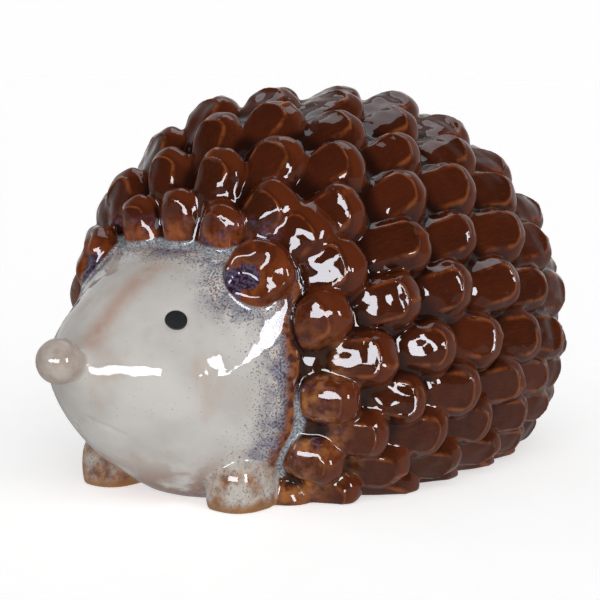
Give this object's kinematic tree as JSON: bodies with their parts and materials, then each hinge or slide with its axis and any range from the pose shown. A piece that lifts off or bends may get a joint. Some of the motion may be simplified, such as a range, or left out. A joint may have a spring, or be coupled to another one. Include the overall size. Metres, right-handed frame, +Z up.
{
  "type": "ceramic hedgehog ornament",
  "caption": "Glazed ceramic hedgehog ornament with a lobed brown coat, a smooth pale face, ring ears, dot eyes and front paws.",
  "frame": {"origin": "on the floor, in the middle of the ornament's bounding box", "axes": "+X to the hedgehog's left, -Y the way its nose points, +Z up"},
  "size_m": [0.1652, 0.2509, 0.1462],
  "materials": {
    "coat_glaze": "glossy clear brown glaze that breaks orange-brown on the edges",
    "face_glaze": "glossy cream-grey glaze with fine dark specks",
    "nose_glaze": "glossy cream glaze, browner where it thins over the ball",
    "ear_glaze": "glossy brown glaze with a purple-blue mottled dish",
    "paw_glaze": "glossy ochre glaze under pale blue-grey runs",
    "eye_black": "black painted dot under a thin glaze"
  },
  "bodies": {
    "root": {"spine_coat": "coat_glaze", "head": "face_glaze", "nose": "nose_glaze", "ear_left": "ear_glaze", "ear_right": "ear_glaze", "eye_left": "eye_black", "eye_right": "eye_black", "front_paw_left": "paw_glaze", "front_paw_right": "paw_glaze"}
  },
  "joints": []
}
